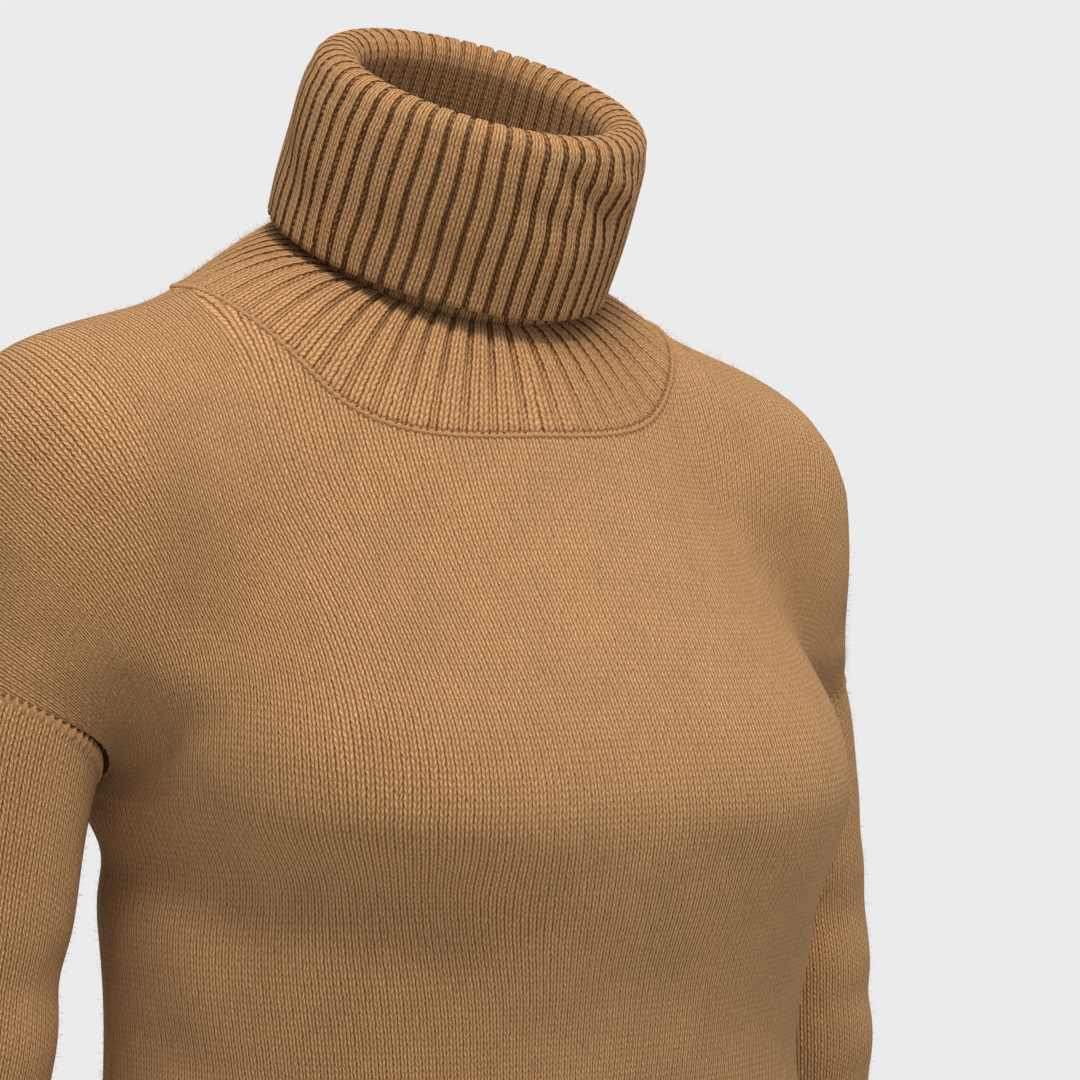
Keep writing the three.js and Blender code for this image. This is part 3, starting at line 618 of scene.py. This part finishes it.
def collar(per_rib=12):
    """The collar's outer and inner points, stitch counts and the painted shade in the grooves of each face.
    The middle of its wall is a quadratic Bezier curve from the neckline to the tube, a straight stand, a
    half circle over the fold and a gently bulged turned-down part. The ribs move each face out where it
    shows."""
    columns = COLLAR_RIBS * per_rib
    angle = (2 * np.pi * np.arange(columns) / columns)[None, :]
    foot = neckline_point(angle[0])
    lean = (STAND_TOP - STAND_RADIUS) / FOLD_HEIGHT
    top = tube_point(angle[0], np.full(columns, STAND_RADIUS + lean * BASE_TOP), np.full(columns, BASE_TOP))
    inward = (top - foot) / np.linalg.norm(top - foot, axis=-1, keepdims=True)
    foot = foot - RIB_WALL / 2 * out_of(shape_depth, foot) + 2 * LINK_GAP * inward
    bend = foot + BASE_SHARE * (top - foot) + np.array([0, 0, BASE_RISE])
    t = np.linspace(0, 1, 22)[:, None, None]
    base = (1 - t) ** 2 * foot + 2 * t * (1 - t) * bend + t * t * top

    fold = (CUFF_RADIUS - STAND_TOP) / 2
    stand = np.linspace(BASE_TOP + 4, FOLD_HEIGHT - 1, 16)
    arc = np.linspace(0, np.pi, 9)
    down = np.linspace(FOLD_HEIGHT - 2, CUFF_EDGE, 28)
    bulge = 1 + 1.5 * np.sin(np.pi * np.clip((down - CUFF_EDGE) / (FOLD_HEIGHT - CUFF_EDGE), 0, 1))
    bulge *= ease(FOLD_HEIGHT - down, 0, 8)
    rolled = STAND_TOP + fold * (1 - np.cos(arc))
    radius = np.concatenate([STAND_RADIUS + lean * stand, rolled, CUFF_RADIUS + bulge])
    along = np.concatenate([stand, FOLD_HEIGHT + fold * np.sin(arc), down])
    turned = np.concatenate([np.zeros(16), ease(arc, 0, np.pi), np.ones(28)])[:, None]
    wave = 0.007 * np.sin(along[:, None] / 15 + 3 * angle)
    wave = wave + 0.004 * np.sin(along[:, None] / 7 + 5 * angle + 1)
    radius = radius[:, None] + 0 * angle
    for start, low, end, high, width, depth in COLLAR_DENTS:
        line = np.array([np.radians(end - start) * CUFF_RADIUS, high - low])
        round_off = ((angle - np.radians(start) + np.pi) % (2 * np.pi) - np.pi) * CUFF_RADIUS
        offset = np.stack([round_off + 0 * along[:, None], along[:, None] - low + 0 * angle], axis=-1)
        share = np.clip(offset @ line / (line @ line), 0, 1)
        distance = np.linalg.norm(offset - share[..., None] * line, axis=-1) / width
        radius = radius - turned * depth * np.exp(-distance ** 2)
    tube = tube_point(angle + wave * turned, radius, along[:, None] + 0 * angle)
    middle = np.concatenate([base, tube])

    around = np.roll(middle, -1, axis=1) - np.roll(middle, 1, axis=1)
    up = np.gradient(middle, axis=0)
    out = np.cross(around, up)
    out /= np.linalg.norm(out, axis=-1, keepdims=True)
    out[0] = out_of(shape_depth, middle[0])
    profile, groove = rib_profile((np.arange(columns) / per_rib + 0.5) % 1 - 0.5)
    rows = len(middle)
    place = np.arange(rows)
    front = (0.12 + 0.88 * ease(place, 0, 15)) * (1 - 0.6 * ease(place, 18, 26))
    back = 0.7 * ease(place, 24, 34) + 0.3 * ease(place, 44, 50)
    outer = middle + (RIB_WALL / 2 + COLLAR_RELIEF / 2 * front[:, None] * profile)[..., None] * out
    inner = middle - (RIB_WALL / 2 + COLLAR_RELIEF / 2 * back[:, None] * profile)[..., None] * out
    steps = np.linalg.norm(np.diff(middle[:, 0], axis=0), axis=-1)
    courses = np.concatenate([[0], steps.cumsum()])[:, None] / COURSE
    wales = rib_wales(columns, per_rib)[None, :]
    stitches = np.stack([wales + 0 * courses, courses + 0 * wales], axis=-1)
    # Painted shade in the grooves: on the outer face mostly at the base, and on the inner face lightly inside
    # the stand and most on the turned-down part, where that face shows.
    front_groove_shade = 0.7 * front[:, None] * groove
    back_groove_shade = (0.35 + 0.8 * ease(place, 38, 46))[:, None] * groove
    return outer, inner, stitches, (front_groove_shade, back_groove_shade)


# Lambswool rib: the same yarn in a close elastic rib, darker where its grooves hide from the light.
rib_wool = knit_wool("lambswool_rib", "4A2E16", "AA7B4C", "CFA375", 0.0008)
collar_grid = collar()
roll = shell("roll_collar", *collar_grid, True, rib_wool, "rib")
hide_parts("collar")


# Neckline linking
# A chain of the same yarn, sewn loop by loop on a linking machine, joins the collar to both panels. It
# stands up as a fine beaded ridge under the first course of the rib.


def chain_tube(path, out, wide, high, link, sides=8):
    """A closed beaded tube along a closed path: its radius swells once for each link, as a raised
    cosine. out is the way out of the cloth, along which the tube is high, and it is wide across."""
    rings = len(path)
    tangent = np.roll(path, -1, axis=0) - np.roll(path, 1, axis=0)
    tangent /= np.linalg.norm(tangent, axis=-1, keepdims=True)
    across = np.cross(tangent, out)
    across /= np.linalg.norm(across, axis=-1, keepdims=True)
    length = np.linalg.norm(np.roll(path, -1, axis=0) - path, axis=-1).cumsum()
    links = round(length[-1] / link)
    swell = (1.0 + 0.5 * np.cos(2 * np.pi * links * length / length[-1]))[:, None, None]
    turn = 2 * np.pi * np.arange(sides) / sides
    ring = np.cos(turn)[None, :, None] * across[:, None] * wide
    ring = ring + np.sin(turn)[None, :, None] * out[:, None] * high
    points = path[:, None] + swell * ring
    index = np.arange(rings * sides).reshape(rings, sides)
    index = np.concatenate([index, index[:1]])
    index = np.concatenate([index, index[:, :1]], axis=1)
    faces = np.stack([index[:-1, :-1], index[1:, :-1], index[1:, 1:], index[:-1, 1:]], axis=-1).reshape(-1, 4)
    points = stance(points.reshape(-1, 3)) * 0.001
    a, b, c, d = (points[faces[:, k]] for k in range(4))
    volume = (a * np.cross(b, c)).sum() + (a * np.cross(c, d)).sum()
    return points, faces if volume > 0 else faces[:, ::-1]


def yarn(name, dark, light):
    """Spun wool yarn: a matt base with noise of 0.6 mm fibres in Object coordinates."""
    material = bpy.data.materials.new(name)
    material.use_nodes = True
    tree = material.node_tree
    tree.nodes.clear()
    place = add(tree, "ShaderNodeTexCoord").outputs["Object"]
    fibre = add(tree, "ShaderNodeTexNoise", {"Vector": place, "Scale": 1100.0, "Detail": 2.0}).outputs[0]
    colour = mix(tree, fibre, linear(dark), linear(light))
    bump = add(tree, "ShaderNodeBump", {"Strength": 0.6, "Distance": 0.0003, "Height": fibre}).outputs[0]
    wool = add(tree, "ShaderNodeBsdfPrincipled", {
        "Base Color": colour, "Roughness": 0.9, "Specular IOR Level": 0.15, "Normal": bump,
        "Sheen Weight": 0.4, "Sheen Roughness": 0.5, "Sheen Tint": linear("E8C79C")})
    add(tree, "ShaderNodeOutputMaterial", {0: wool.outputs[0]})
    return material


# Linking yarn: the sweater's own wool, drawn tight.
link_yarn = yarn("lambswool_link", "80572F", "C99F73")
seam_angle = 2 * np.pi * np.arange(1100) / 1100
neck_path = neckline_point(seam_angle)
neck_out = out_of(shape_depth, neck_path)
neck_tube = chain_tube(neck_path + 0.1 * neck_out, neck_out, 1.2, 0.9, WALE)
new_piece("neckline_chain", *neck_tube, link_yarn, "rib")


# Armhole linking
# The same chain joins each sleeve to the armhole. It lies almost flat, and shows as a fine line of loops.

for side_name, hand in (("left", 1), ("right", -1)):
    seam_angle = 2 * np.pi * np.arange(700) / 700
    arm_path = armhole_point(seam_angle)
    arm_out = arm_path - read_level(ARM_LEVELS, arm_path[:, 2])[1:3].T @ np.eye(2, 3)
    arm_out[:, 2] = 0
    arm_out /= np.linalg.norm(arm_out, axis=-1, keepdims=True)
    arm_path = arm_path - np.array([0, 0, SLEEVE_GAP / 2]) - 0.7 * arm_out
    mirror = np.array([hand, 1, 1])
    seam_tube = chain_tube(arm_path * mirror, arm_out * mirror, 2.4, 1.3, 4.0)
    new_piece(f"armhole_chain_{side_name}", *seam_tube, link_yarn, "jersey")


# Hem band
# A firm two by two rib, linked to the lower edges of the front and the back, which it draws in slightly.

BAND_WALL = 3.0
BAND_RELIEF = 1.8
HEM_BOTTOM = -590.0
HEM_RIBS = 96


def band(ring, heights, pulls, ribs, per_rib, middle):
    """A ribbed band under a closed ring of points: level rings, moved along the way out from middle by
    the rib's height and less the pull. Stitch counts and painted groove shade as on the collar."""
    columns = ribs * per_rib
    place = np.arange(columns) / columns * len(ring)
    first = np.floor(place).astype(int)
    share = (place - first)[:, None]
    foot = (1 - share) * ring[first % len(ring)] + share * ring[(first + 1) % len(ring)]
    out = foot - middle
    out[:, 2] = 0
    out /= np.linalg.norm(out, axis=-1, keepdims=True)
    profile, groove = rib_profile((np.arange(columns) / per_rib + 0.5) % 1 - 0.5)
    level = heights[:, None] + 0 * profile
    relief = (0.2 + 0.8 * ease(heights[0] - heights, 0, 14))[:, None] * BAND_RELIEF / 2
    outer = foot + (relief * profile - pulls[:, None])[..., None] * out
    inner = foot - (BAND_WALL + pulls[:, None] + 0 * profile)[..., None] * out
    outer[..., 2] = level
    inner[..., 2] = level
    courses = (heights[0] - heights)[:, None] / COURSE
    wales = rib_wales(columns, per_rib)[None, :]
    stitches = np.stack([wales + 0 * courses, -courses + 0 * wales], axis=-1)
    return outer, inner, stitches, (groove[None, :] + 0 * courses, 0.0)


def body_ring():
    """The lower edges of both panels as one ring, from the front centre by the wearer's left."""
    front_row, back_row = front_grid[0][0], back_grid[0][0]
    half = (len(front_row) - 1) // 2
    return np.concatenate([front_row[half:], back_row[1:-1][::-1], front_row[:half]])


hem_heights = np.linspace(HEM_TOP - LINK_GAP, HEM_BOTTOM, 24)
hem_share = (hem_heights[0] - hem_heights) / (hem_heights[0] - hem_heights[-1])
hem_pulls = 3 * np.sin(np.pi * np.minimum(hem_share, 1) * 0.9)
hem_middle = np.array([0.0, read_level(BODY_LEVELS, HEM_TOP)[4], 0])
hem_grid = band(body_ring(), hem_heights, hem_pulls, HEM_RIBS, 10, hem_middle)
hem = shell("hem_band", *hem_grid, True, rib_wool, "rib")
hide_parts("hem")


# Cuffs
# A two by two rib at each wrist, narrower than the sleeve that it gathers.

CUFF_RIBS = 20


def cuff(hand, per_rib=12):
    """A cuff round the wrist: rings of the arm's ellipse, moved out by the rib's height."""
    columns = CUFF_RIBS * per_rib
    angle = (2 * np.pi * np.arange(columns) / columns)[None, :]
    z = np.linspace(SLEEVE_END, CUFF_END, 26)[:, None]
    profile, groove = rib_profile((np.arange(columns) / per_rib + 0.5) % 1 - 0.5)
    relief = (0.2 + 0.8 * ease(SLEEVE_END - z, 0, 14)) * BAND_RELIEF / 2
    outer = arm_point(angle, z, -relief * profile)
    inner = arm_point(angle, z, BAND_WALL + 0 * angle)
    outer[..., 0] *= hand
    inner[..., 0] *= hand
    courses = (z - SLEEVE_END) / COURSE
    wales = rib_wales(columns, per_rib)[None, :]
    stitches = np.stack([wales + 0 * courses, courses + 0 * wales], axis=-1)
    # The groove share is the painted shade in the rib's grooves on the outer face.
    return outer, inner, stitches, (groove[None, :] + 0 * z, 0.0)


for side_name, hand in (("left", 1), ("right", -1)):
    tube = shell(f"cuff_{side_name}_rib", *cuff(hand), True, rib_wool, "rib")
    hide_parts(f"cuff_{side_name}")


# Loose fibres
# Ends of the lambswool that work out of the yarn and stand off the cloth all over as a faint haze, seen
# most where the knitting turns away.

FIBRE_RADIUS = 0.06


def unit(ways):
    """Each way divided by its length."""
    return ways / np.linalg.norm(ways, axis=-1, keepdims=True)


def haze(name, outer, inner, count, reach, slot, seed):
    """Loose ends as thin closed spindles of two tips and a bent three-cornered middle. Each starts just
    inside a random place of the outer grid, blended from the corners of a cell, and leans at random
    away from the way that leads there from the inner grid."""
    chance = np.random.default_rng(seed)
    row = chance.uniform(0, outer.shape[0] - 1.001, count)
    column = chance.uniform(0, outer.shape[1] - 1.001, count)
    low_row, low_column = row.astype(int), column.astype(int)
    u, v = (row - low_row)[:, None], (column - low_column)[:, None]

    def blend(grid):
        low = (1 - v) * grid[low_row, low_column] + v * grid[low_row, low_column + 1]
        high = (1 - v) * grid[low_row + 1, low_column] + v * grid[low_row + 1, low_column + 1]
        return (1 - u) * low + u * high

    root = blend(outer)
    out = unit(root - blend(inner))
    way = unit(out * chance.uniform(0.3, 1.2, (count, 1)) + 0.6 * chance.normal(size=(count, 3)))
    way += out * np.maximum(0.1 - (way * out).sum(axis=-1, keepdims=True), 0)
    side = unit(np.cross(way, chance.normal(size=(count, 3))))
    up = unit(np.cross(way, side))
    length = chance.uniform(1.5, reach, (count, 1))
    middle = root + way * length * 0.5 + side * length * chance.uniform(-0.2, 0.2, (count, 1))
    corners = 2 * np.pi * np.arange(3) / 3
    ring = [middle + FIBRE_RADIUS * (np.cos(a) * side + np.sin(a) * up) for a in corners]
    points = np.stack([root - 0.4 * out, *ring, root + way * length], axis=1).reshape(-1, 3)
    cells = np.array([[1, 2, 4], [2, 3, 4], [3, 1, 4], [2, 1, 0], [3, 2, 0], [1, 3, 0]])
    faces = (5 * np.arange(count)[:, None, None] + cells).reshape(-1, 3)
    return new_piece(name, stance(points) * 0.001, faces, loose_wool, slot)


# Loose wool: the same fibre, single and therefore paler.
loose_wool = yarn("loose_lambswool", "A87D50", "DDBB90")
haze("haze_front", front_grid[0], front_grid[1], 15000, 4.8, "jersey", 1)
haze("haze_back", back_grid[0], back_grid[1], 7000, 4.2, "jersey", 2)
haze("haze_collar", collar_grid[0], collar_grid[1], 15000, 4.2, "rib", 3)
for side_name, grid in sleeve_grids.items():
    haze(f"haze_sleeve_{side_name}", grid[0], grid[1], 5000, 4.2, "jersey", 4)


# Floor
# A plain pale studio floor under the sweater.

FLOOR_Z = -0.664
FLOOR_HALF = 1.2

floor_material = bpy.data.materials.new("pale_floor_paint")
floor_material.use_nodes = True
floor_shader = floor_material.node_tree.nodes["Principled BSDF"]
floor_shader.inputs["Base Color"].default_value = linear("CFCFCF")
floor_shader.inputs["Roughness"].default_value = 0.9
floor_mesh = bpy.data.meshes.new("studio_floor")
corners = [(x * FLOOR_HALF, y * FLOOR_HALF, FLOOR_Z) for x, y in ((-1, -1), (1, -1), (1, 1), (-1, 1))]
floor_mesh.from_pydata(corners, [], [(0, 1, 2, 3)])
floor_mesh.materials.append(floor_material)
floor = bpy.data.objects.new("studio_floor", floor_mesh)
bpy.context.scene.collection.objects.link(floor)


# Camera and light
# A long lens from the wearer's front right, a little above the shoulders, in front of a plain light grey
# surround. One large soft lamp stands overhead to the right, and a weak one lifts the near side.

azimuth, elevation = np.radians(-37), np.radians(4)
heading = np.array([-np.sin(azimuth), np.cos(azimuth), 0.0])
view = heading * np.cos(elevation) + np.array([0.0, 0.0, -np.sin(elevation)])
right = np.array([np.cos(azimuth), np.sin(azimuth), 0.0])
upward = np.cross(right, view)


def face(thing, position, towards, top):
    """Places a camera or lamp at a point so that it looks along a direction."""
    towards = towards / np.linalg.norm(towards)
    side = np.cross(towards, top)
    side /= np.linalg.norm(side)
    over = np.cross(side, towards)
    matrix = Matrix([[side[k], over[k], -towards[k], position[k]] for k in range(3)] + [[0, 0, 0, 1]])
    thing.matrix_world = matrix


camera_data = bpy.data.cameras.new("camera")
camera_data.lens = 198
camera_data.sensor_width = 36
camera = bpy.data.objects.new("camera", camera_data)
bpy.context.scene.collection.objects.link(camera)
face(camera, -2.7 * view + 0.05 * right - 0.1136 * upward, view, upward)
bpy.context.scene.camera = camera

# Lamps: name, place to the right, up and towards the camera, size, watts and colour.
for name, place, size, watts, colour in (
    ("overhead_lamp", (0.35, 1.9, 1.1), 0.8, 50, "FFF6EC"),
    ("fill_lamp", (1.1, 0.6, 1.8), 1.4, 3, "F4F6FF"),
):
    lamp_data = bpy.data.lights.new(name, "AREA")
    lamp_data.shape = "DISK"
    lamp_data.size = size
    lamp_data.energy = watts
    lamp_data.color = linear(colour)[:3]
    lamp = bpy.data.objects.new(name, lamp_data)
    bpy.context.scene.collection.objects.link(lamp)
    spot = place[0] * right + place[1] * np.array([0, 0, 1.0]) - place[2] * view
    face(lamp, spot, -spot + np.array([0, 0, -0.15]), np.array([0.0, 1.0, 0.01]))

# Surround: light grey at eye level, dim just above it, brighter overhead and darker below.
world = bpy.data.worlds.new("studio_surround")
world.use_nodes = True
bpy.context.scene.world = world
sky = world.node_tree
sky.nodes.clear()
direction = add(sky, "ShaderNodeSeparateXYZ", {0: add(sky, "ShaderNodeTexCoord").outputs["Generated"]})
height = direction.outputs[2]
below = add(sky, "ShaderNodeMapRange", {0: height, 1: -0.28, 2: -0.18, 3: 0.4, 4: 0.83}).outputs[0]
above = add(sky, "ShaderNodeMapRange", {0: height, 1: 0.03, 2: 0.12, 3: 0.0, 4: -0.63}).outputs[0]
overhead = add(sky, "ShaderNodeMapRange", {0: height, 1: 0.35, 2: 0.95, 3: 0.0, 4: 0.8}).outputs[0]
strength = calc(sky, "ADD", calc(sky, "ADD", below, above), overhead)
surround = add(sky, "ShaderNodeBackground", {0: linear("FFFFFF"), 1: strength})
add(sky, "ShaderNodeOutputWorld", {0: surround.outputs[0]})
bpy.context.scene.view_settings.view_transform = "Standard"
